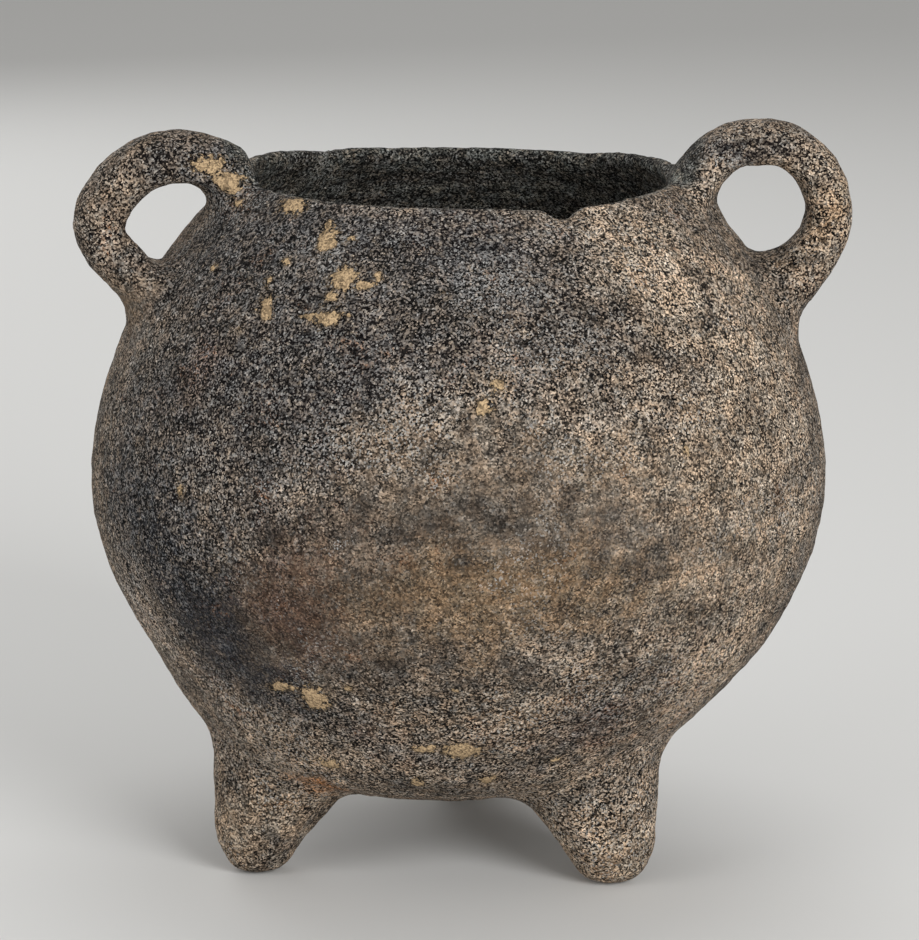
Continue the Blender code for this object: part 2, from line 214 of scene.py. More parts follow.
@dataclass
class Wall:
    """The round wall: where it stands, how its two faces are told apart, and what has marked it.

    climb and step say how far the rim rises towards the handles. swell, wiping, grit and pitting say how far
    each mark raises or sinks the clay. All are in metres.
    """

    axis_x: float = -0.0012
    middle_height: float = 0.1075
    rim_height: float = 0.1880
    lowest_level: float = 0.026
    level_step: float = 0.002
    level_reach: float = 0.0012
    climb: float = 0.0024
    step: float = 0.0006
    swell: float = 0.00035
    wiping: float = 0.00016
    grit: float = 0.00020
    pitting: float = 0.00045
    radii: np.ndarray = field(default_factory=lambda: np.zeros(0))
    levels: np.ndarray = field(default_factory=lambda: np.zeros(0))

    def radius_from_axis(self, places: np.ndarray) -> np.ndarray:
        """Gives how far each point is from the pot's axis."""
        return np.hypot(places[:, 0] - self.axis_x, places[:, 1])

    def facing_out(self, places: np.ndarray, normals: np.ndarray) -> np.ndarray:
        """Gives 1 where the surface faces away from the belly's middle, -1 where it faces towards it."""
        middle = np.array([self.axis_x, 0.0, self.middle_height])
        away = places - middle
        return (normals * away).sum(axis=1) / np.linalg.norm(away, axis=1)

    def measure(self, places: np.ndarray, normals: np.ndarray) -> None:
        """Reads the outer face's radius at each height, to tell handles and feet from the wall."""
        radius = self.radius_from_axis(places)
        out = self.facing_out(places, normals) > 0.35
        self.levels = np.arange(self.lowest_level, self.rim_height - 0.001, self.level_step)
        gaps = [np.abs(places[:, 2] - level) for level in self.levels]
        self.radii = np.array([np.median(radius[out & (gap < self.level_reach)]) for gap in gaps])

    def radius_at(self, heights: np.ndarray) -> np.ndarray:
        """Gives the outer face's radius at each height."""
        return np.interp(heights, self.levels, self.radii)

    def inside(self, places: np.ndarray, normals: np.ndarray) -> np.ndarray:
        """Gives 1 on the pot's inner face and 0 on its outer face, handles and feet."""
        behind = self.radius_at(places[:, 2]) - self.radius_from_axis(places)
        facing = eased(self.facing_out(places, normals), 0.1, -0.35)
        return facing * eased(behind, 0.0004, 0.0022) * eased(places[:, 2], 0.0225, 0.0245)

    def lip(self, places: np.ndarray) -> np.ndarray:
        """Gives 1 on the rim's edge and 0 a few millimetres below it."""
        close = eased(places[:, 2], self.rim_height - 0.0055, self.rim_height - 0.0025)
        return close * eased(self.radius_from_axis(places), 0.0665, 0.0635)

    def sooted_lip(self, places: np.ndarray, normals: np.ndarray) -> np.ndarray:
        """Gives 1 where the rim's edge is as black as the inside, on its inner half and at the back."""
        radius = self.radius_from_axis(places)
        outward = (normals[:, 0] * (places[:, 0] - self.axis_x) + normals[:, 1] * places[:, 1]) / radius
        return self.lip(places) * np.maximum(eased(outward, 0.30, -0.20), eased(places[:, 1], 0.005, 0.020))

    def rise(self, places: np.ndarray) -> np.ndarray:
        """Gives how far the rim's back edge climbs towards the two handles, in metres."""
        radius = self.radius_from_axis(places)
        across, back = (places[:, 0] - self.axis_x) / radius, places[:, 1] / radius
        climb = eased(np.abs(across), 0.55, 0.90) * eased(back, 0.02, 0.25)
        step = eased(across, -0.66, -0.62) * eased(across, -0.30, -0.50) * eased(back, 0.2, 0.4)
        near_edge = eased(places[:, 2], 0.168, 0.186) * eased(radius, 0.0675, 0.0650)
        return (self.climb * climb + self.step * step) * near_edge

    def relief(self, places: np.ndarray, normals: np.ndarray) -> np.ndarray:
        """Gives how far hand marks, wiping and grit raise or sink the wall.

        Args:
            places: Points on the pot, one a row.
            normals: The way that the surface faces at each.

        Returns:
            Metres along the normal for each point.
        """
        inside = self.inside(places, normals)
        low = eased(places[:, 2], 0.110, 0.070)
        swell = self.swell * ripple(places, (22.0, 22.0, 26.0), 2)
        wiped = self.wiping * ripple(places, (28.0, 28.0, 190.0), 2, 5.0) * (0.5 + 0.9 * low)
        grit = self.grit * ripple(places, (250.0, 250.0, 280.0), 3, 11.0)
        pits = -self.pitting * eased(ripple(places, (310.0, 310.0, 310.0), 1, 23.0), 0.30, 0.62)
        return swell + wiped + (grit + pits) * (1.0 - 0.45 * inside)

    def stains(self) -> list[Patch]:
        """Lists the stains on the wall, kind by kind."""
        return [
            # Wiped smooth, with less grit
            Patch(Stain.WIPED, -84, 0.104, 0.130, 0.080, strength=0.90),
            Patch(Stain.WIPED, -118, 0.088, 0.070, 0.060, strength=0.75),
            Patch(Stain.WIPED, 80, 0.100, 0.150, 0.080, strength=0.80),
            Patch(Stain.WIPED, -126, 0.074, 0.050, 0.050, strength=0.45),
            Patch(Stain.WIPED, -44, 0.110, 0.080, 0.090, strength=0.28),
            Patch(Stain.WIPED, -163, 0.152, 0.030, 0.030, strength=0.60),
            # Soot from the fire
            Patch(Stain.SOOT_AND_SHADE, -132, 0.112, 0.120, 0.150, strength=0.42),
            Patch(Stain.SOOT_AND_SHADE, -104, 0.176, 0.100, 0.040, strength=0.60),
            Patch(Stain.SOOT_AND_SHADE, -117, 0.156, 0.070, 0.050, strength=0.62),
            Patch(Stain.SOOT_AND_SHADE, -78, 0.178, 0.070, 0.034, strength=0.50),
            Patch(Stain.SOOT_AND_SHADE, -94, 0.152, 0.066, 0.034, strength=0.58),
            Patch(Stain.SOOT_AND_SHADE, -70, 0.158, 0.040, 0.030, strength=0.36),
            Patch(Stain.SOOT_AND_SHADE, -112, 0.138, 0.040, 0.030, strength=0.45),
            Patch(Stain.SOOT_AND_SHADE, -118, 0.184, 0.080, 0.016, strength=0.80),
            Patch(Stain.SOOT_AND_SHADE, -94, 0.184, 0.060, 0.012, strength=0.45),
            Patch(Stain.SOOT_AND_SHADE, -142, 0.178, 0.046, 0.034, strength=0.90),
            Patch(Stain.SOOT_AND_SHADE, -150, 0.158, 0.040, 0.050, strength=0.45),
            Patch(Stain.SOOT_AND_SHADE, -35, 0.112, 0.024, 0.050, strength=0.25),
            Patch(Stain.SOOT_AND_SHADE, -150, 0.118, 0.044, 0.056, strength=0.72),
            Patch(Stain.SOOT_AND_SHADE, -140, 0.108, 0.034, 0.044, strength=0.50),
            Patch(Stain.SOOT_AND_SHADE, -128, 0.140, 0.056, 0.050, strength=0.45),
            Patch(Stain.SOOT_AND_SHADE, -28, 0.186, 0.024, 0.014, strength=0.45),
            Patch(Stain.SOOT_AND_SHADE, -119, 0.080, 0.060, 0.030, strength=0.22),
            Patch(Stain.SOOT_AND_SHADE, -8, 0.110, 0.040, 0.080, strength=0.32),
            Patch(Stain.SOOT_AND_SHADE, 60, 0.165, 0.090, 0.050, strength=0.85),
            Patch(Stain.SOOT_AND_SHADE, 120, 0.150, 0.080, 0.060, strength=0.80),
            # The darkest bands of soot
            Patch(Stain.BAND, -143, 0.114, 0.034, 0.046, lean=10.0, strength=0.60),
            Patch(Stain.BAND, -136, 0.088, 0.034, 0.050, lean=25.0, strength=0.72),
            Patch(Stain.BAND, -126, 0.068, 0.050, 0.034, lean=-30.0, strength=0.75),
            Patch(Stain.BAND, -112, 0.056, 0.050, 0.022, lean=-12.0, strength=0.50),
            Patch(Stain.BAND, -64, 0.060, 0.056, 0.018, lean=28.0, strength=0.52),
            Patch(Stain.BAND, -83, 0.046, 0.070, 0.014, lean=6.0, strength=0.58),
            Patch(Stain.BAND, -131, 0.0310, 0.0040, 0.0034, out=0.0595),
            Patch(Stain.BAND, 95, 0.066, 0.100, 0.030, lean=8.0, strength=0.75),
            Patch(Stain.BAND, 175, 0.085, 0.060, 0.040, lean=-15.0, strength=0.80),
            # Bare tan clay
            Patch(Stain.TAN, -34, 0.088, 0.056, 0.060, strength=0.55),
            Patch(Stain.TAN, -58, 0.088, 0.044, 0.034, strength=0.45),
            Patch(Stain.TAN, -96, 0.048, 0.090, 0.030, strength=0.45),
            Patch(Stain.TAN, -60, 0.042, 0.050, 0.030, strength=0.60),
            Patch(Stain.TAN, -128, 0.040, 0.050, 0.030, strength=0.50),
            Patch(Stain.TAN, -50, 0.172, 0.038, 0.036, strength=0.85),
            Patch(Stain.TAN, -50, 0.124, 0.090, 0.080, strength=0.50),
            Patch(Stain.TAN, -34, 0.138, 0.060, 0.060, strength=0.70),
            Patch(Stain.TAN, -56, 0.184, 0.060, 0.012, strength=0.60),
            Patch(Stain.TAN, -42, 0.066, 0.040, 0.026, lean=35.0, strength=0.95),
            Patch(Stain.TAN, -68, 0.128, 0.050, 0.018, strength=0.40),
            Patch(Stain.TAN, -158, 0.066, 0.030, 0.030, strength=0.50),
            Patch(Stain.TAN, -93, 0.092, 0.046, 0.032, strength=0.40),
            Patch(Stain.TAN, -28, 0.165, 0.034, 0.034, strength=0.60),
            Patch(Stain.TAN, 20, 0.110, 0.060, 0.060, strength=0.60),
            # Yellowish clay
            Patch(Stain.OCHRE, -163, 0.156, 0.020, 0.016, strength=0.50),
            Patch(Stain.OCHRE, -84, 0.094, 0.080, 0.036, lean=3.0, strength=0.75),
            Patch(Stain.OCHRE, -98, 0.090, 0.060, 0.030, strength=0.40),
            Patch(Stain.OCHRE, -66, 0.084, 0.040, 0.030, strength=0.40),
            Patch(Stain.OCHRE, -92, 0.058, 0.070, 0.026, strength=0.35),
            Patch(Stain.OCHRE, 75, 0.100, 0.080, 0.036, strength=0.60),
            # Reddish clay
            Patch(Stain.RUST, -136, 0.147, 0.022, 0.026, lean=10.0, strength=0.80),
            Patch(Stain.RUST, -118, 0.092, 0.044, 0.060, strength=0.62),
            Patch(Stain.RUST, -96, 0.110, 0.080, 0.030, strength=0.14),
            Patch(Stain.RUST, -96, 0.048, 0.120, 0.034, strength=0.28),
            Patch(Stain.RUST, -58, 0.052, 0.060, 0.036, strength=0.24),
            Patch(Stain.RUST, 140, 0.105, 0.040, 0.040, strength=0.60),
            # Pale dirt
            Patch(Stain.DUST, -157, 0.086, 0.034, 0.056, strength=0.75),
            Patch(Stain.DUST, -153, 0.146, 0.040, 0.050, strength=0.75),
            Patch(Stain.DUST, -150, 0.100, 0.022, 0.050, strength=0.22),
            Patch(Stain.DUST, -127, 0.173, 0.018, 0.016, strength=0.70),
            Patch(Stain.DUST, -123, 0.179, 0.020, 0.014, strength=0.45),
            Patch(Stain.DUST, -112, 0.172, 0.050, 0.036, strength=0.40),
            Patch(Stain.DUST, -84, 0.140, 0.080, 0.016, strength=0.45),
            Patch(Stain.DUST, -62, 0.110, 0.050, 0.026, strength=0.30),
            Patch(Stain.DUST, 160, 0.135, 0.050, 0.050, strength=0.70),
            # Salts
            Patch(Stain.LIME, -84, 0.172, 0.034, 0.022, strength=0.90),
            Patch(Stain.LIME, -102, 0.146, 0.024, 0.010, strength=0.80),
            Patch(Stain.LIME, -110, 0.112, 0.016, 0.007, strength=0.90),
            Patch(Stain.LIME, -120, 0.178, 0.040, 0.020, strength=0.60),
            Patch(Stain.LIME, -74, 0.156, 0.034, 0.024, strength=0.75),
            # Raised tan crusts
            Patch(Stain.CRUST, -134, 0.1865, 0.0078, 0.0052),
            Patch(Stain.CRUST, -120, 0.1795, 0.0048, 0.0062, lean=10.0),
            Patch(Stain.CRUST, -121, 0.1830, 0.0026, 0.0040),
            Patch(Stain.CRUST, -118, 0.1815, 0.0018, 0.0018, strength=0.90),
            Patch(Stain.CRUST, -114, 0.1805, 0.0022, 0.0020, strength=0.80),
            Patch(Stain.CRUST, -127, 0.1740, 0.0030, 0.0030, strength=0.70),
            Patch(Stain.CRUST, -129, 0.1690, 0.0022, 0.0034, strength=0.65),
            Patch(Stain.CRUST, -127, 0.1630, 0.0042, 0.0068, lean=12.0, strength=0.90),
            Patch(Stain.CRUST, -113, 0.1715, 0.0060, 0.0078, lean=-12.0),
            Patch(Stain.CRUST, -114.5, 0.1670, 0.0038, 0.0026, lean=20.0, strength=0.90),
            Patch(Stain.CRUST, -108.5, 0.1702, 0.0044, 0.0026),
            Patch(Stain.CRUST, -106, 0.1722, 0.0021, 0.0032),
            Patch(Stain.CRUST, -114, 0.1620, 0.0068, 0.0044, lean=12.0),
            Patch(Stain.CRUST, -118, 0.1622, 0.0040, 0.0012, lean=5.0, strength=0.80),
            Patch(Stain.CRUST, -110, 0.1630, 0.0017, 0.0017, strength=0.80),
            Patch(Stain.CRUST, -131, 0.1570, 0.0022, 0.0022, strength=0.60),
            Patch(Stain.CRUST, -146, 0.1700, 0.0030, 0.0024, strength=0.60),
            Patch(Stain.CRUST, -84, 0.1480, 0.0030, 0.0032),
            Patch(Stain.CRUST, -86.5, 0.1425, 0.0048, 0.0036, strength=0.95),
            Patch(Stain.CRUST, -136, 0.1160, 0.0026, 0.0040, strength=0.90),
            Patch(Stain.CRUST, -54, 0.1290, 0.0022, 0.0030, strength=0.80),
            Patch(Stain.CRUST, -116, 0.0640, 0.0080, 0.0085, lean=-25.0, strength=0.85),
            Patch(Stain.CRUST, -122, 0.0660, 0.0090, 0.0040, lean=20.0, strength=0.70),
            Patch(Stain.CRUST, -109, 0.0680, 0.0024, 0.0024),
            Patch(Stain.CRUST, -91, 0.0690, 0.0022, 0.0018, strength=0.80),
            Patch(Stain.CRUST, -90, 0.0490, 0.0100, 0.0070, lean=-12.0, strength=0.80),
            Patch(Stain.CRUST, -97, 0.0500, 0.0070, 0.0032, strength=0.70),
            Patch(Stain.CRUST, -119, 0.0430, 0.0070, 0.0042, strength=0.80),
            Patch(Stain.CRUST, -100, 0.0380, 0.0044, 0.0050, strength=0.80),
            Patch(Stain.CRUST, -84, 0.0380, 0.0050, 0.0050, strength=0.80),
            Patch(Stain.CRUST, -69, 0.0430, 0.0034, 0.0026, strength=0.80),
            Patch(Stain.CRUST, 100, 0.160, 0.010, 0.008, strength=0.90),
            Patch(Stain.CRUST, 52, 0.072, 0.012, 0.008, strength=0.90),
            # The iron stain by the left foot
            Patch(Stain.IRON, -134, 0.0268, 0.0180, 0.0130, strength=0.90, out=0.0555),
        ]


@dataclass
class LoopHandle:
    """One upright loop on the rim, and its hole, an oval as seen from the front.

    centre is the middle of the hole. The oval is followed from hole_from round to hole_to, in degrees, and
    fades in and out over fade. drip is how far clay hangs into the hole's top, and drip_spread its half width
    in degrees. inner_reach and inner_depth say where the loop's inner side is looked for.
    """

    side: Side
    centre: tuple[float, float, float]
    hole_wide: float
    hole_high: float
    hole_from: float
    hole_to: float
    drip: float = 0.0
    drip_spread: float = 9.0
    fade: float = 18.0
    turn_step: float = 6.0
    inner_reach: float = 0.024
    inner_depth: float = 0.006
    most_move: float = 0.0036
    lumps: float = 0.00035

    def share(self, places: np.ndarray, wall: Wall) -> np.ndarray:
        """Gives 1 on this handle and 0 on the rest of the pot."""
        beyond = wall.radius_from_axis(places) - wall.radius_at(places[:, 2])
        outside = eased(beyond, 0.0010, 0.0040) * eased(places[:, 2], 0.135, 0.150)
        above = eased(places[:, 2], wall.rim_height + 0.0015, wall.rim_height + 0.0035)
        toward = 1.0 if self.side is Side.RIGHT else -1.0
        return np.maximum(outside, above) * (places[:, 0] * toward > 0.0)

    def opened(self, places: np.ndarray, normals: np.ndarray, wall: Wall) -> np.ndarray:
        """Draws the loop's inner side out to an oval hole, as seen from the front.

        Args:
            places: Points on the pot, one a row.
            normals: The way that the surface faces at each.
            wall: The pot's wall, whose inner face is left as it is.

        Returns:
            The moved points.
        """
        across, up = places[:, 0] - self.centre[0], places[:, 2] - self.centre[2]
        reach, turn = np.hypot(across, up), np.degrees(np.arctan2(up, across)) % 360.0
        close = np.abs(places[:, 1] - self.centre[1])
        outer = wall.inside(places, normals) < 0.5
        near = (reach < self.inner_reach) & (close < self.inner_depth) & outer
        turns = np.arange(0.0, 360.0, self.turn_step)
        gap = np.abs((turn[near][None, :] - turns[:, None] + 180.0) % 360.0 - 180.0)
        edge = np.where(gap < 5.0, reach[near][None, :], 1.0).min(axis=1)
        angle = np.radians(turns)
        oval = 1.0 / np.hypot(np.cos(angle) / (self.hole_wide / 2.0), np.sin(angle) / (self.hole_high / 2.0))
        oval = oval - self.drip * np.exp(-(((turns - 90.0) / self.drip_spread) ** 2))
        past = (turns - self.hole_from) % 360.0
        span = (self.hole_to - self.hole_from) % 360.0
        share = eased(past, 0.0, self.fade) * eased(past, span, span - self.fade)
        move = np.clip(oval - edge, -self.most_move, self.most_move) * share
        move = (np.roll(move, 1) + 2.0 * move + np.roll(move, -1)) / 4.0
        edge_here, move_here = (np.interp(turn, turns, values, period=360.0) for values in (edge, move))
        weight = eased(reach - edge_here, 0.0060, 0.0005) * eased(close, 0.014, 0.008)
        weight = weight * (reach < self.inner_reach) * outer
        result = places.copy()
        result[:, 0] += across / reach * move_here * weight
        result[:, 2] += up / reach * move_here * weight
        return result

    def relief(self, places: np.ndarray, wall: Wall) -> np.ndarray:
        """Gives how far lumps raise or sink the handle, in metres."""
        return self.lumps * ripple(places, (80.0, 80.0, 80.0), 2, 31.0) * self.share(places, wall)

    def stains(self) -> list[Patch]:
        """Lists the stains on this handle, and on the right one a patch of painted groove shade."""
        if self.side is Side.LEFT:
            return [
                Patch(Stain.CRUST, -159, 0.1945, 0.0064, 0.0050, out=0.0706),
                Patch(Stain.CRUST, -157, 0.1900, 0.0034, 0.0068, out=0.0673),
                Patch(Stain.CRUST, -154, 0.1850, 0.0026, 0.0022, strength=0.9, out=0.0653),
                Patch(Stain.LIME, -172, 0.1924, 0.0120, 0.0090, out=0.0958),
                Patch(Stain.DUST, -172, 0.1924, 0.0110, 0.0080, out=0.0958),
                Patch(Stain.SOOT_AND_SHADE, -152, 0.1920, 0.0300, 0.0260, strength=0.95, out=0.0670),
                Patch(Stain.SOOT_AND_SHADE, -157, 0.1840, 0.0200, 0.0120, strength=0.9, out=0.0650),
                Patch(Stain.WIPED, -165, 0.1600, 0.0240, 0.0200, strength=0.8, out=0.0850),
                Patch(Stain.DUST, -166, 0.1930, 0.014, 0.014, strength=0.8, out=0.0970),
                Patch(Stain.TAN, -160, 0.1640, 0.014, 0.012, strength=0.7, out=0.0900),
                Patch(Stain.SOOT_AND_SHADE, -160, 0.2000, 0.030, 0.012, strength=0.35, out=0.0800),
            ]
        return [
            Patch(Stain.TAN, -6, 0.1850, 0.022, 0.050, strength=0.7, out=0.0970),
            Patch(Stain.OCHRE, -6, 0.1760, 0.014, 0.030, strength=0.6, out=0.1000),
            # Painted shade: this patch in the soot colour darkens the grooves on the handle's top.
            Patch(Stain.SOOT_AND_SHADE, -9, 0.1985, 0.040, 0.014, strength=0.70, out=0.0750),
            Patch(Stain.LIME, -9, 0.1945, 0.0140, 0.0080, strength=0.9, out=0.0760),
        ]


@dataclass
class StubFoot:
    """One short foot, worn round at its tip.

    turn is its place round the axis in degrees, out its distance from the axis and pale how tan its clay is.
    """

    turn: float
    out: float
    pale: float
    lumps: float = 0.00040
    girth: float = 0.035

    def share(self, places: np.ndarray) -> np.ndarray:
        """Gives 1 low on this foot and 0 above it."""
        return eased(places[:, 2], 0.030, 0.016)

    def relief(self, places: np.ndarray) -> np.ndarray:
        """Gives how far lumps raise or sink the foot, in metres."""
        angle = math.radians(self.turn)
        gap = np.hypot(places[:, 0] - self.out * math.cos(angle), places[:, 1] - self.out * math.sin(angle))
        lumps = self.lumps * ripple(places, (90.0, 90.0, 90.0), 2, 47.0)
        return lumps * self.share(places) * (gap < self.girth)

    def stains(self) -> list[Patch]:
        """Lists the stains on this foot."""
        return [
            Patch(Stain.TAN, self.turn, 0.010, 0.060, 0.046, strength=self.pale, out=self.out),
            Patch(Stain.OCHRE, self.turn, 0.012, 0.050, 0.040, strength=0.30, out=self.out),
            Patch(Stain.WIPED, self.turn, 0.010, 0.050, 0.036, strength=0.60, out=self.out),
        ]


@dataclass
class CookingPot:
    """The whole vessel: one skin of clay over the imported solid, shaped, roughened and stained.

    skin_step is the size of the skin's small faces. The rounds say how often each part of the pot is evened
    out: the wall most, handles and feet less, the rim least, and the hollows at the joins by filling.
    """

    node: str = "pot"
    body: str = "root"
    slot: str = "fired_clay"
    skin_step: float = 0.0013
    wall_rounds: int = 40
    small_rounds: int = 30
    rim_rounds: int = 4
    fill_passes: int = 3
    fill_rounds: int = 60
    last_rounds: int = 2
    crust_rise: float = 0.00035
    most_faces: int = 192_000
    wall: Wall = field(default_factory=Wall)
    handles: tuple[LoopHandle, ...] = (
        LoopHandle(Side.LEFT, (-0.0801, -0.0110, 0.1779), 0.0219, 0.0204, 165.0, 282.0),
        LoopHandle(Side.RIGHT, (0.0792, -0.0080, 0.1801), 0.0246, 0.0238, 246.0, 190.0, drip=0.0007),
    )
    feet: tuple[StubFoot, ...] = (
        StubFoot(202.0, 0.0590, pale=0.75),
        StubFoot(326.0, 0.0500, pale=1.0),
        StubFoot(84.0, 0.0540, pale=0.6),
    )

    def merged_copy(self, solid: bpy.types.Object) -> bpy.types.Object:
        """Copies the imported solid's loose triangles and joins them into one closed mesh."""
        shaped = bmesh.new()
        shaped.from_mesh(solid.data)
        bmesh.ops.remove_doubles(shaped, verts=shaped.verts, dist=0.00001)
        mesh = bpy.data.meshes.new("pot_clay")
        shaped.to_mesh(mesh)
        shaped.free()
        piece = bpy.data.objects.new("pot_clay", mesh)
        bpy.context.scene.collection.objects.link(piece)
        return piece

    def apply(self, piece: bpy.types.Object) -> None:
        """Makes what the piece's modifiers give its own mesh."""
        graph = bpy.context.evaluated_depsgraph_get()
        made = bpy.data.meshes.new_from_object(piece.evaluated_get(graph))
        piece.modifiers.clear()
        old = piece.data
        piece.data = made
        bpy.data.meshes.remove(old)

    def fine_skin(self, piece: bpy.types.Object) -> None:
        """Lays an even net of small faces over the whole pot."""
        net = piece.modifiers.new("fine_skin", "REMESH")
        net.mode = "VOXEL"
        net.voxel_size = self.skin_step
        self.apply(piece)

    def even_out(self, mesh: bpy.types.Mesh) -> None:
        """Takes the flat facets off the wall, more gently on the small forms, and rounds the joins."""
        places, normals = vertex_places(mesh), vertex_normals(mesh)
        self.wall.measure(places, normals)
        soft = evened(mesh, places, self.wall_rounds)
        firm = evened(mesh, places, self.small_rounds)
        crisp = evened(mesh, places, self.rim_rounds)
        lip = np.repeat(self.wall.lip(places)[:, None], 3, axis=1)
        small = np.zeros(len(places))
        for handle in self.handles:
            small = np.maximum(small, handle.share(places, self.wall))
        for foot in self.feet:
            small = np.maximum(small, foot.share(places))
        small = np.repeat(small[:, None], 3, axis=1)
        places = soft + averaged(mesh, small, 6) * (firm - soft)
        places = places + averaged(mesh, lip * (1.0 - small), 3) * (crisp - places)
        places[:, 2] += self.wall.rise(places)
        put_places(mesh, places)
        for _ in range(self.fill_passes):
            places, normals = vertex_places(mesh), vertex_normals(mesh)
            filled = averaged(mesh, places, self.fill_rounds)
            lift = ((filled - places) * normals).sum(axis=1)
            lift = lift * eased(lift, 0.00010, 0.00045)
            put_places(mesh, places + normals * lift[:, None])
        for handle in self.handles:
            places, normals = vertex_places(mesh), vertex_normals(mesh)
            put_places(mesh, handle.opened(places, normals, self.wall))
        put_places(mesh, averaged(mesh, vertex_places(mesh), self.last_rounds))

    def roughen(self, mesh: bpy.types.Mesh) -> None:
        """Raises and sinks the skin by hand marks, grit and crusts."""
        places, normals = vertex_places(mesh), vertex_normals(mesh)
        depth = self.wall.relief(places, normals)
        for handle in self.handles:
            depth = depth + handle.relief(places, self.wall)
        for foot in self.feet:
            depth = depth + foot.relief(places)
        crust = self.field(Stain.CRUST, places, normals)
        ragged = crust + 0.30 * ripple(places, (420.0, 420.0, 420.0), 2, 3.0)
        depth = depth + self.crust_rise * eased(ragged, 0.05, 0.35)
        places = places + normals * depth[:, None]
        places[:, 2] = np.maximum(places[:, 2], 0.0)
        put_places(mesh, places)

    def thin_out(self, piece: bpy.types.Object) -> None:
        """Joins small flat faces until few enough are left."""
        faces = sum(len(face.vertices) - 2 for face in piece.data.polygons)
        thin = piece.modifiers.new("thin_out", "DECIMATE")
        thin.ratio = min(1.0, self.most_faces / faces)
        self.apply(piece)

    def stains(self) -> list[Patch]:
        """Lists every stain on the pot, and the painted groove shade on the right handle."""
        found = self.wall.stains()
        for handle in self.handles:
            found += handle.stains()
        for foot in self.feet:
            found += foot.stains()
        return found

    def field(self, kind: Stain, places: np.ndarray, normals: np.ndarray) -> np.ndarray:
        """Gives how deep each point lies in the stains of one kind.

        Args:
            kind: The stain.
            places: Points on the pot, one a row.
            normals: The way that the surface faces at each.

        Returns:
            A number for each point. For a crust it is 1 in its middle, 0 on its edge and less outside. For
            the rest it is the stain's strength, fading out past its edge.
        """
        crisp = kind is Stain.CRUST
        result = np.full(len(places), -1.0 if crisp else 0.0)
        inside = self.wall.inside(places, normals)
        if not crisp:
            places = wandered(places, ((26.0, 0.011), (80.0, 0.0050), (230.0, 0.0018)))
        for patch in self.stains():
            if patch.kind is not kind:
                continue
            angle = math.radians(patch.turn)
            out = patch.out or float(self.wall.radius_at(np.array([patch.height]))[0])
            centre = np.array([self.wall.axis_x + out * math.cos(angle), out * math.sin(angle), patch.height])
            away = np.array([math.cos(angle), math.sin(angle), 0.0])
            away[2] = 0.0 if patch.out else (patch.height - self.wall.middle_height) / out
            away /= np.linalg.norm(away)
            along = np.array([-math.sin(angle), math.cos(angle), 0.0])
            upward = np.cross(away, along)
            lean = math.radians(patch.lean)
            offset = places - centre
            a, b, c = offset @ along, offset @ upward, offset @ away
            wide = (a * math.cos(lean) + b * math.sin(lean)) / (patch.wide / 2.0)
            high = (b * math.cos(lean) - a * math.sin(lean)) / (patch.high / 2.0)
            deep = c / (max(patch.wide, patch.high) * 0.7)
            reach = np.sqrt(wide * wide + high * high + deep * deep)
            if crisp:
                result = np.maximum(result, (1.0 - reach) - (1.0 - patch.strength) * 0.4)
            else:
                result = 1.0 - (1.0 - result) * (1.0 - patch.strength * eased(reach, 1.55, 0.15))
        return np.where(inside < 0.5, result, -1.0 if crisp else 0.0)

    def stain(self, mesh: bpy.types.Mesh) -> None:
        """Writes each kind of stain, and the pot's inside, onto the mesh for the finish to read."""
        places, normals = vertex_places(mesh), vertex_normals(mesh)
        layers = {kind.value: self.field(kind, places, normals) for kind in Stain}
        inside = self.wall.inside(places, normals)
        layers["inside"] = np.maximum(inside, self.wall.sooted_lip(places, normals))
        for name, values in layers.items():
            layer = mesh.attributes.new(name, "FLOAT", "POINT")
            layer.data.foreach_set("value", values.astype(np.float32))

    def build(self, solid: bpy.types.Object, finish: "SootyClay") -> bpy.types.Object:
        """Makes the pot's visible piece and puts it on the frame.

        Args:
            solid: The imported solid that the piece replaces.
            finish: The clay's finish.

        Returns:
            The finished piece.
        """
        piece = self.merged_copy(solid)
        self.fine_skin(piece)
        self.even_out(piece.data)
        self.roughen(piece.data)
        self.thin_out(piece)
        piece.data.shade_smooth()
        self.stain(piece.data)
        piece.data.materials.clear()
        piece.data.materials.append(finish.material())
        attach(piece, self.body)
        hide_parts(self.node)
        LOG.info("%s: %d points, %d faces", piece.name, len(piece.data.vertices), len(piece.data.polygons))
        return piece


Value = bpy.types.NodeSocket | float | tuple[float, ...]


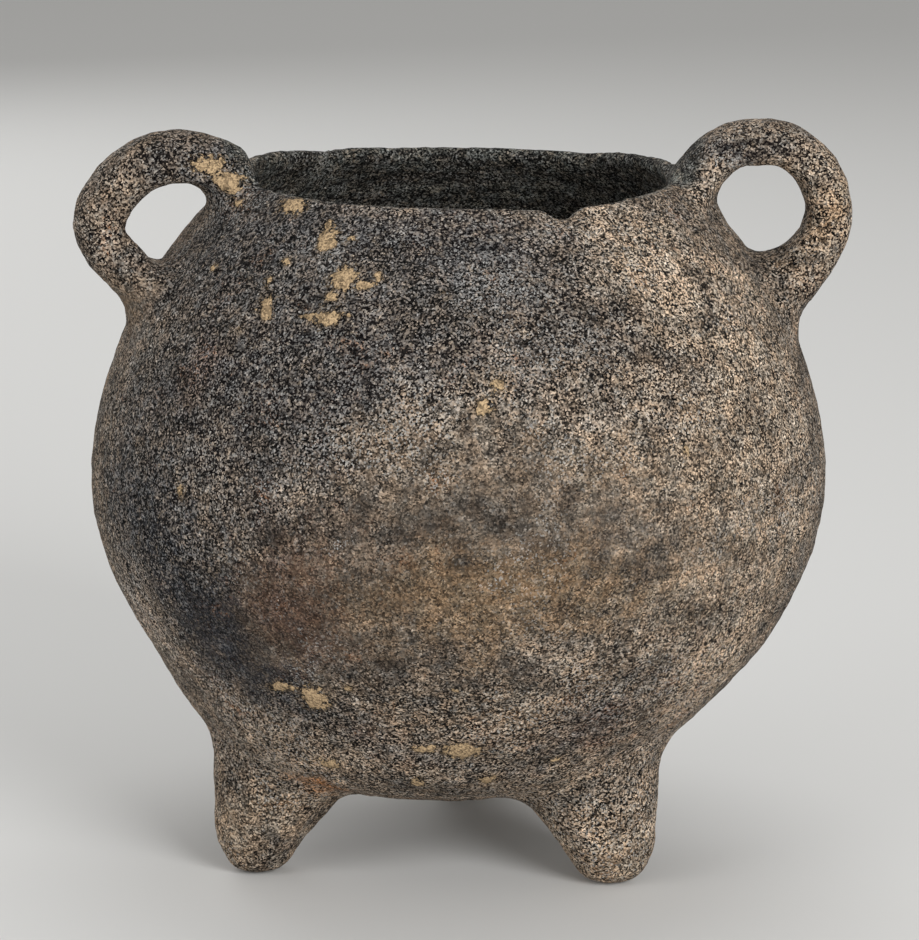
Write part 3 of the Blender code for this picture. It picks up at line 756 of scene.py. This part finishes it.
class ShaderBench:
    """Lays out and joins the nodes of one finish."""

    def __init__(self, name: str) -> None:
        """Starts a finish with its surface shader and output."""
        self.material = bpy.data.materials.new(name)
        self.material.use_nodes = True
        self.tree = self.material.node_tree
        self.tree.nodes.clear()
        self.shader = self.tree.nodes.new("ShaderNodeBsdfPrincipled")
        output = self.tree.nodes.new("ShaderNodeOutputMaterial")
        self.tree.links.new(self.shader.outputs["BSDF"], output.inputs["Surface"])
        self.place = self.tree.nodes.new("ShaderNodeTexCoord").outputs["Object"]

    def set(self, socket: bpy.types.NodeSocket, value: Value) -> None:
        """Joins a value to a socket, or sets it there."""
        if isinstance(value, bpy.types.NodeSocket):
            self.tree.links.new(value, socket)
        elif isinstance(value, tuple) and len(value) == 3 and socket.type == "RGBA":
            socket.default_value = (*value, 1.0)
        else:
            socket.default_value = value

    def maths(
        self, operation: str, one: Value, other: Value = 0.0, third: Value = 0.0, clamp: bool = False
    ) -> Value:
        """Works out one number from others."""
        node = self.tree.nodes.new("ShaderNodeMath")
        node.operation, node.use_clamp = operation, clamp
        self.set(node.inputs[0], one)
        self.set(node.inputs[1], other)
        self.set(node.inputs[2], third)
        return node.outputs[0]

    def vector(self, operation: str, one: Value, other: Value = (0.0, 0.0, 0.0), scale: Value = 1.0) -> Value:
        """Works out one vector from others."""
        node = self.tree.nodes.new("ShaderNodeVectorMath")
        node.operation = operation
        self.set(node.inputs[0], one)
        if operation == "SCALE":
            self.set(node.inputs["Scale"], scale)
        else:
            self.set(node.inputs[1], other)
        return node.outputs["Value"] if operation in {"LENGTH", "DOT_PRODUCT"} else node.outputs["Vector"]

    def step(self, value: Value, low: float, high: float, start: float = 0.0, end: float = 1.0) -> Value:
        """Rises smoothly from start at low to end at high."""
        node = self.tree.nodes.new("ShaderNodeMapRange")
        node.interpolation_type = "SMOOTHSTEP"
        for socket, number in zip(node.inputs[:5], (value, low, high, start, end)):
            self.set(socket, number)
        return node.outputs["Result"]

    def blend(self, share: Value, one: Value, other: Value) -> Value:
        """Mixes two colours, other taking the share."""
        node = self.tree.nodes.new("ShaderNodeMix")
        node.data_type = "RGBA"
        colours = [socket for socket in node.inputs if socket.type == "RGBA"]
        self.set(node.inputs[0], share)
        self.set(colours[0], one)
        self.set(colours[1], other)
        return next(socket for socket in node.outputs if socket.type == "RGBA")

    def tint(self, colour: Value, amount: Value) -> Value:
        """Makes a colour lighter or darker by an amount."""
        return self.vector("SCALE", colour, scale=amount)

    def swung(self, pattern: Value, times: float, base: Value = 0.0) -> Value:
        """Adds to a base the swing of a pattern around 0.5, so many times over."""
        return self.maths("MULTIPLY_ADD", self.maths("SUBTRACT", pattern, 0.5), times, base)

    def stretched(self, up: float = 1.0, away: tuple[float, float, float] = (0.0, 0.0, 0.0)) -> Value:
        """Gives the pot's coordinates with more waves to the metre upwards, moved away."""
        node = self.tree.nodes.new("ShaderNodeMapping")
        self.set(node.inputs["Vector"], self.place)
        node.inputs["Scale"].default_value = (1.0, 1.0, up)
        node.inputs["Location"].default_value = away
        return node.outputs["Vector"]

    def cloud(
        self, scale: float, detail: float, rough: float = 0.5, place: Value | None = None, warp: float = 0.0
    ) -> Value:
        """Gives an uneven pattern around 0.5, with scale waves to the metre."""
        node = self.tree.nodes.new("ShaderNodeTexNoise")
        self.set(node.inputs["Vector"], self.place if place is None else place)
        node.inputs["Scale"].default_value = scale
        node.inputs["Detail"].default_value = detail
        node.inputs["Roughness"].default_value = rough
        node.inputs["Distortion"].default_value = warp
        return node.outputs["Fac"]

    def jogged(self, scale: float, reach: float) -> Value:
        """Gives the pot's coordinates, shifted to and fro by up to reach, with scale waves to the metre."""
        node = self.tree.nodes.new("ShaderNodeTexNoise")
        self.set(node.inputs["Vector"], self.place)
        node.inputs["Scale"].default_value = scale
        node.inputs["Detail"].default_value = 1.0
        shift = self.vector("SUBTRACT", node.outputs["Color"], (0.5, 0.5, 0.5))
        return self.vector("ADD", self.place, self.vector("SCALE", shift, scale=reach))

    def grains(self, scale: float, place: Value | None = None) -> tuple[Value, Value, Value]:
        """Gives a bed of grains, scale to the metre, as three random numbers for each grain."""
        node = self.tree.nodes.new("ShaderNodeTexVoronoi")
        self.set(node.inputs["Vector"], self.place if place is None else place)
        node.inputs["Scale"].default_value = scale
        split = self.tree.nodes.new("ShaderNodeSeparateColor")
        self.tree.links.new(node.outputs["Color"], split.inputs[0])
        return split.outputs[0], split.outputs[1], split.outputs[2]

    def layer(self, name: str) -> Value:
        """Reads a number that the mesh carries."""
        node = self.tree.nodes.new("ShaderNodeAttribute")
        node.attribute_name = name
        return node.outputs["Fac"]

    def bump(self, height: Value, distance: float, strength: float) -> Value:
        """Tilts the surface by a pattern of heights."""
        node = self.tree.nodes.new("ShaderNodeBump")
        node.inputs["Distance"].default_value = distance
        node.inputs["Strength"].default_value = strength
        self.set(node.inputs["Height"], height)
        return node.outputs["Normal"]


class ClayPatterns:
    """The uneven patterns and the grains that the layers of the clay's finish share."""

    fine_grains = 2350.0
    large_grains = 1300.0

    def __init__(self, bench: ShaderBench) -> None:
        """Lays out the patterns.

        Args:
            bench: Where the finish is made.
        """
        self.blotch = bench.cloud(30.0, 4.0, 0.62)
        self.mottle = bench.cloud(120.0, 4.0, 0.66, warp=0.3)
        self.coarse = bench.cloud(430.0, 3.0, 0.65)
        self.sand = bench.cloud(1400.0, 2.0, 0.6)
        self.clump = bench.cloud(170.0, 3.0, 0.6, bench.stretched(away=(3.0, 1.0, 2.0)))
        self.hue = bench.cloud(240.0, 3.0, 0.7, bench.stretched(away=(7.0, 4.0, 1.0)))
        self.jogged = bench.jogged(1100.0, 0.0007)
        self.fine, self.fine_pit, self.fine_pale = bench.grains(self.fine_grains)
        self.grain, self.grain_pit, self.grain_pale = bench.grains(self.large_grains, self.jogged)
        self.wiped = bench.layer(Stain.WIPED.value)
        self.rough = bench.step(self.wiped, 0.0, 1.0, 1.0, 0.28)
        self.soot = bench.layer(Stain.SOOT_AND_SHADE.value)


@dataclass(frozen=True)
class Scar:
    """A thin line cut into the clay's front side, given by the x and z of its two ends, and painted dark as
    the shade inside the cut; depth says how dark.
    """

    start: tuple[float, float]
    end: tuple[float, float]
    width: float
    depth: float = 1.0


@dataclass(frozen=True)
class SootyClay:
    """Gritty brown clay that was fired, cooked on and buried, in the colours that each of these left, with
    shade painted into its pits, cut lines and crust edges.
    """

    body_dark: tuple[float, float, float] = (0.075, 0.062, 0.051)
    body_pale: tuple[float, float, float] = (0.200, 0.158, 0.118)
    tan: tuple[float, float, float] = (0.272, 0.213, 0.156)
    dust: tuple[float, float, float] = (0.230, 0.200, 0.170)
    rust: tuple[float, float, float] = (0.120, 0.058, 0.030)
    ochre: tuple[float, float, float] = (0.200, 0.136, 0.080)
    # Soot colour, which also paints the shade of the grooves on the right handle's top.
    soot: tuple[float, float, float] = (0.036, 0.036, 0.038)
    band: tuple[float, float, float] = (0.022, 0.024, 0.029)
    lime: tuple[float, float, float] = (0.400, 0.395, 0.380)
    crust: tuple[float, float, float] = (0.440, 0.315, 0.185)
    iron: tuple[float, float, float] = (0.300, 0.130, 0.040)
    inside: tuple[float, float, float] = (0.012, 0.013, 0.013)
    inside_pale: tuple[float, float, float] = (0.070, 0.074, 0.067)
    pale_grain: tuple[float, float, float] = (0.380, 0.310, 0.230)
    worn: tuple[float, float, float] = (0.420, 0.385, 0.340)
    # Near-black painted shade, for the small pits, the line round each crust and the cut lines.
    painted_shade: tuple[float, float, float] = (0.004, 0.003, 0.003)
    scars: tuple[Scar, ...] = (
        Scar((-0.0520, 0.1200), (-0.0550, 0.1150), 0.00022, 0.6),
        Scar((-0.0550, 0.1150), (-0.0520, 0.1130), 0.00026, 0.6),
        Scar((-0.0482, 0.1105), (-0.0474, 0.1088), 0.00030, 0.6),
        Scar((0.0675, 0.1962), (0.0720, 0.1984), 0.00060, 0.9),
        Scar((0.0720, 0.1984), (0.0770, 0.1990), 0.00070, 0.9),
        Scar((0.0770, 0.1990), (0.0820, 0.1978), 0.00060, 0.9),
        Scar((0.0820, 0.1978), (0.0862, 0.1952), 0.00050, 0.8),
        Scar((0.0705, 0.2006), (0.0760, 0.2014), 0.00045, 0.7),
        Scar((0.0760, 0.2014), (0.0815, 0.2008), 0.00040, 0.6),
        Scar((0.0745, 0.1945), (0.0800, 0.1960), 0.00040, 0.6),
        Scar((0.0800, 0.1960), (0.0840, 0.1936), 0.00035, 0.5),
        Scar((-0.0925, 0.1815), (-0.0868, 0.1757), 0.00035, 0.6),
    )
    scars_from: float = -0.006
    scars_full: float = -0.012
    shine: float = 0.10
    bump_distance: float = 0.0010
    bump_strength: float = 0.8

    def scar_shade(self, bench: ShaderBench, place: Value) -> Value:
        """Gives the painted shade of the cut lines: 1 along them and 0 beside them, on the front side alone.
        """
        total: Value = 0.0
        flat = bench.vector("MULTIPLY", place, (1.0, 0.0, 1.0))
        for scar in self.scars:
            start, end = Vector((scar.start[0], 0.0, scar.start[1])), Vector((scar.end[0], 0.0, scar.end[1]))
            run = end - start
            from_start = bench.vector("SUBTRACT", flat, tuple(start))
            along = bench.vector("DOT_PRODUCT", from_start, tuple(run))
            share = bench.maths("DIVIDE", along, run.length_squared, clamp=True)
            nearest = bench.vector("SCALE", tuple(run), scale=share)
            gap = bench.vector("LENGTH", bench.vector("SUBTRACT", from_start, nearest))
            line = bench.step(gap, scar.width * 1.6, scar.width * 0.5, 0.0, scar.depth)
            total = bench.maths("MAXIMUM", total, line)
        depth = bench.vector("DOT_PRODUCT", bench.place, (0.0, 1.0, 0.0))
        return bench.maths("MULTIPLY", total, bench.step(depth, self.scars_from, self.scars_full))

    def stained(self, bench: ShaderBench, seen: ClayPatterns) -> Value:
        """Mixes the bare clay's two browns, then lays the outer stains and the sooty inside over them."""
        half_blotch, half_mottle = (bench.maths("MULTIPLY", part, 0.5) for part in (seen.blotch, seen.mottle))
        shade = bench.maths("ADD", half_blotch, half_mottle)
        colour = bench.blend(bench.step(shade, 0.34, 0.68), self.body_dark, self.body_pale)
        cloudy = bench.cloud(62.0, 4.0, 0.6, warp=0.5)
        ragged = bench.maths("MULTIPLY_ADD", seen.mottle, 0.34, bench.maths("MULTIPLY", seen.sand, 0.33))
        ragged = bench.maths("MULTIPLY_ADD", cloudy, 0.33, ragged)
        for kind, tone, most in (
            (Stain.DUST, self.dust, 0.75),
            (Stain.TAN, self.tan, 0.80),
            (Stain.OCHRE, self.ochre, 0.80),
            (Stain.RUST, self.rust, 0.85),
            (Stain.SOOT_AND_SHADE, self.soot, 0.90),
            (Stain.BAND, self.band, 0.90),
            (Stain.IRON, self.iron, 0.90),
        ):
            depth = bench.swung(ragged, 3.2, bench.layer(kind.value))
            colour = bench.blend(bench.step(depth, 0.15, 0.95, 0.0, most), colour, tone)
        streak = bench.cloud(60.0, 4.0, 0.7, bench.stretched(6.0, away=(2.0, 2.0, 2.0)))
        within = bench.blend(bench.step(streak, 0.36, 0.66), self.inside, self.inside_pale)
        return bench.blend(bench.maths("MULTIPLY", bench.layer("inside"), 0.92), colour, within)

    def grained(self, bench: ShaderBench, seen: ClayPatterns, colour: Value) -> Value:
        """Makes each grain lighter or darker than its neighbours, less so where the clay was wiped."""
        dusty = bench.cloud(85.0, 5.0, 0.70, bench.stretched(1.2, away=(9.0, 5.0, 2.0)), warp=0.4)
        dingy = bench.cloud(105.0, 5.0, 0.72, bench.stretched(1.2, away=(2.0, 8.0, 6.0)), warp=0.4)
        colour = bench.tint(colour, bench.step(dusty, 0.47, 0.62, 0.95, 1.36))
        colour = bench.tint(colour, bench.step(dingy, 0.48, 0.62, 1.04, 0.70))
        grit = bench.maths("MULTIPLY", seen.rough, bench.step(seen.clump, 0.30, 0.70, 0.75, 1.25))
        grit = bench.maths("MULTIPLY", grit, bench.step(seen.soot, 0.0, 0.9, 1.0, 1.12))
        swing = bench.swung(seen.fine, 2.15)
        swing = bench.swung(seen.grain, 0.28, swing)
        swing = bench.swung(seen.coarse, 0.6, swing)
        swing = bench.maths("MULTIPLY", swing, grit)
        light = bench.maths("POWER", bench.maths("MAXIMUM", bench.maths("ADD", swing, 1.0), 0.05), 2.2)
        colour = bench.tint(colour, bench.maths("MULTIPLY", bench.maths("MINIMUM", light, 3.2), 0.82))
        return bench.blend(bench.step(swing, 0.25, 1.00, 0.0, 0.22), colour, self.worn)

    def streaked(self, bench: ShaderBench, seen: ClayPatterns, colour: Value) -> Value:
        """Draws the level marks of wiping, then turns the colour warmer and cooler in small spots."""
        bands = bench.cloud(42.0, 4.0, 0.6, bench.stretched(9.0))
        colour = bench.tint(colour, bench.step(bands, 0.30, 0.70, 0.84, 1.16))
        lines = bench.cloud(34.0, 3.0, 0.6, bench.stretched(22.0, away=(4.0, 4.0, 4.0)))
        lines = bench.maths("MULTIPLY", bench.step(lines, 0.56, 0.66), seen.wiped)
        colour = bench.tint(colour, bench.maths("MULTIPLY_ADD", lines, -0.26, 1.0))
        warm = bench.vector("MULTIPLY", colour, (1.06, 0.99, 0.93))
        cool = bench.vector("MULTIPLY", colour, (0.96, 1.00, 1.04))
        own_hue = bench.swung(seen.grain_pale, 0.10, seen.hue)
        return bench.blend(bench.step(own_hue, 0.38, 0.62), cool, warm)

    def specked(self, bench: ShaderBench, seen: ClayPatterns, colour: Value) -> Value:
        """Sets a few bright grains among the rest, and paints shade into many small pits as black dots."""
        large, small = bench.step(seen.grain_pale, 0.955, 0.960), bench.step(seen.fine_pale, 0.945, 0.950)
        share = bench.step(seen.rough, 0.40, 1.0, 0.45, 0.90)
        pale = bench.maths("MULTIPLY", bench.maths("MAXIMUM", large, small), share)
        tone = bench.blend(bench.step(seen.hue, 0.42, 0.58), self.lime, self.pale_grain)
        colour = bench.blend(pale, colour, bench.blend(0.35, bench.tint(colour, 2.0), tone))

        # Painted shade: the pits below are black dots of colour, for the shade inside small holes.
        few = bench.step(seen.clump, 0.36, 0.64, 0.030, 0.095)
        few = bench.maths("MULTIPLY", few, bench.step(seen.rough, 0.40, 1.0, 0.60, 1.0))
        few = bench.maths("MULTIPLY", few, bench.step(seen.soot, 0.0, 0.9, 1.0, 1.6))
        large = bench.maths("LESS_THAN", seen.grain_pit, bench.maths("MULTIPLY", few, 0.45))
        small = bench.maths("LESS_THAN", seen.fine_pit, few)
        pits = bench.maths("MAXIMUM", large, small)
        pits = bench.maths("MULTIPLY", pits, bench.step(seen.rough, 0.40, 1.0, 0.70, 1.0))
        return bench.blend(bench.maths("MULTIPLY", pits, 0.94), colour, self.painted_shade)

    def salted(self, bench: ShaderBench, seen: ClayPatterns, colour: Value) -> Value:
        """Dusts the clay with white salts, close together in their own stains and thinly elsewhere."""
        lime = bench.swung(seen.sand, 3.4, bench.layer(Stain.LIME.value))
        lime = bench.maths("MULTIPLY", bench.step(lime, 0.75, 1.25), bench.step(seen.fine_pale, 0.50, 0.52))
        thin = bench.step(seen.fine_pale, 0.88, 0.89, 0.0, 0.55)
        salts = bench.maths("MULTIPLY", bench.step(seen.blotch, 0.50, 0.64), thin)
        share = bench.maths("MAXIMUM", bench.maths("MULTIPLY", lime, 0.8), salts)
        return bench.blend(share, colour, self.lime)

    def crusted(self, bench: ShaderBench, seen: ClayPatterns, colour: Value) -> Value:
        """Lays the tan crusts on, with a thin film round each and a painted shadow line at its edge."""
        edge = bench.swung(seen.coarse, 2.2, bench.layer(Stain.CRUST.value))
        edge = bench.swung(seen.mottle, 0.8, edge)
        edge = bench.swung(seen.grain, 0.40, edge)
        thin = bench.step(seen.fine, 0.50, 0.52, 0.0, 0.30)
        film = bench.maths("MULTIPLY", bench.step(edge, -0.90, 0.20), thin)
        colour = bench.blend(film, colour, self.crust)
        # Painted shadow: a dark line round each crust, for the shade under its raised edge.
        rim = bench.maths("MULTIPLY", bench.step(edge, -0.22, -0.10), 0.70)
        colour = bench.blend(rim, colour, self.painted_shade)
        tone = bench.tint(self.crust, bench.step(seen.fine, 0.0, 1.0, 0.50, 1.30))
        tone = bench.tint(tone, bench.step(seen.grain_pit, 0.10, 0.12, 0.45, 1.0))
        return bench.blend(bench.maths("MULTIPLY", bench.step(edge, 0.0, 0.08), 0.94), colour, tone)

    def relief(self, bench: ShaderBench, seen: ClayPatterns) -> Value:
        """Gives the tilt of the surface by fine sand, and by the crusts' edges."""
        raised = bench.step(bench.swung(seen.coarse, 2.2, bench.layer(Stain.CRUST.value)), 0.0, 0.12)
        height = bench.maths("MULTIPLY_ADD", raised, 0.60, seen.coarse)
        height = bench.maths("MULTIPLY_ADD", seen.sand, 0.70, height)
        return bench.bump(height, self.bump_distance, self.bump_strength)

    def material(self) -> bpy.types.Material:
        """Builds the clay's nodes, layer by layer.

        Returns:
            The finished material.
        """
        bench = ShaderBench("sooty_clay")
        seen = ClayPatterns(bench)
        colour = self.stained(bench, seen)
        for layer in (self.grained, self.streaked, self.specked, self.salted, self.crusted):
            colour = layer(bench, seen, colour)
        # Painted shade in the cut lines, drawn in the near-black shade colour; the surface is not cut there.
        scar = bench.maths("MULTIPLY", self.scar_shade(bench, seen.jogged), 0.85)
        bench.set(bench.shader.inputs["Base Color"], bench.blend(scar, colour, self.painted_shade))
        bench.set(bench.shader.inputs["Roughness"], bench.step(seen.sand, 0.3, 0.7, 0.80, 0.97))
        bench.set(bench.shader.inputs["Specular IOR Level"], self.shine)
        bench.set(bench.shader.inputs["Normal"], self.relief(bench, seen))
        return bench.material


@dataclass(frozen=True)
class PaleFloor:
    """A plain, matt, pale floor."""

    tone: tuple[float, float, float] = (0.68, 0.68, 0.67)
    roughness: float = 0.85

    def material(self) -> bpy.types.Material:
        """Builds the floor's nodes."""
        bench = ShaderBench("pale_floor")
        bench.set(bench.shader.inputs["Base Color"], self.tone)
        bench.shader.inputs["Roughness"].default_value = self.roughness
        return bench.material


@dataclass(frozen=True)
class Lamp:
    """One large soft lamp."""

    name: str
    place: tuple[float, float, float]
    size: float
    power: float
    aim: tuple[float, float, float] = (0.0, 0.0, 0.11)

    def build(self) -> bpy.types.Object:
        """Hangs the lamp and turns it to the pot."""
        light = bpy.data.lights.new(self.name, "AREA")
        light.shape, light.size, light.energy = "DISK", self.size, self.power
        lamp = bpy.data.objects.new(self.name, light)
        lamp.location = self.place
        lamp.rotation_euler = (Vector(self.aim) - Vector(self.place)).to_track_quat("-Z", "Y").to_euler()
        bpy.context.scene.collection.objects.link(lamp)
        return lamp


@dataclass
class Studio:
    """The plain place where the pot is looked at: floor, lamps and camera."""

    floor_size: float = 14.0
    floor_drop: float = 0.0001
    air: float = 0.46
    air_tone: tuple[float, float, float, float] = (1.0, 0.99, 0.97, 1.0)
    lamps: tuple[Lamp, ...] = (
        Lamp("key_lamp", (0.80, -1.35, 0.72), 0.8, 20.0),
        Lamp("fill_lamp", (-1.25, -0.95, 0.50), 1.0, 7.5),
        Lamp("top_lamp", (0.10, 0.50, 1.50), 1.2, 5.0),
        Lamp("back_lamp", (-0.70, 1.60, 0.90), 1.0, 6.0),
    )
    camera_place: tuple[float, float, float] = (-0.0015, -1.03, 0.3227)
    camera_pitch: float = 78.189
    lens: float = 147.31
    sensor: float = 36.0

    def floor(self) -> bpy.types.Object:
        """Lays the floor just under the feet."""
        shaped = bmesh.new()
        bmesh.ops.create_grid(shaped, x_segments=2, y_segments=2, size=self.floor_size / 2.0)
        bmesh.ops.translate(shaped, verts=shaped.verts, vec=(0.0, 0.0, -self.floor_drop))
        mesh = bpy.data.meshes.new("floor")
        shaped.to_mesh(mesh)
        shaped.free()
        mesh.materials.append(PaleFloor().material())
        floor = bpy.data.objects.new("floor", mesh)
        bpy.context.scene.collection.objects.link(floor)
        return floor

    def camera(self) -> bpy.types.Object:
        """Sets the camera in front of the pot and a little above it."""
        data = bpy.data.cameras.new("camera")
        data.sensor_fit = "VERTICAL"
        data.sensor_height = self.sensor
        data.lens = self.lens
        camera = bpy.data.objects.new("camera", data)
        camera.location = self.camera_place
        camera.rotation_euler = (math.radians(self.camera_pitch), 0.0, 0.0)
        bpy.context.scene.collection.objects.link(camera)
        bpy.context.scene.camera = camera
        return camera

    def build(self) -> None:
        """Sets up the floor, the lamps, the air's light and the camera."""
        self.floor()
        self.camera()
        for lamp in self.lamps:
            lamp.build()
        world = bpy.data.worlds.new("studio_air")
        world.use_nodes = True
        ground = world.node_tree.nodes["Background"]
        ground.inputs["Color"].default_value = self.air_tone
        ground.inputs["Strength"].default_value = self.air
        bpy.context.scene.world = world
        bpy.context.scene.view_settings.view_transform = "Standard"


def main() -> None:
    """Builds the studio and the pot."""
    logging.basicConfig(level=logging.INFO, format="%(name)s: %(message)s")
    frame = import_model()
    noise.seed_set(STAIN_SEED)
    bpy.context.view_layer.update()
    Studio().build()
    CookingPot().build(frame["nodes"]["pot"], SootyClay())


if __name__ == "__main__":
    main()
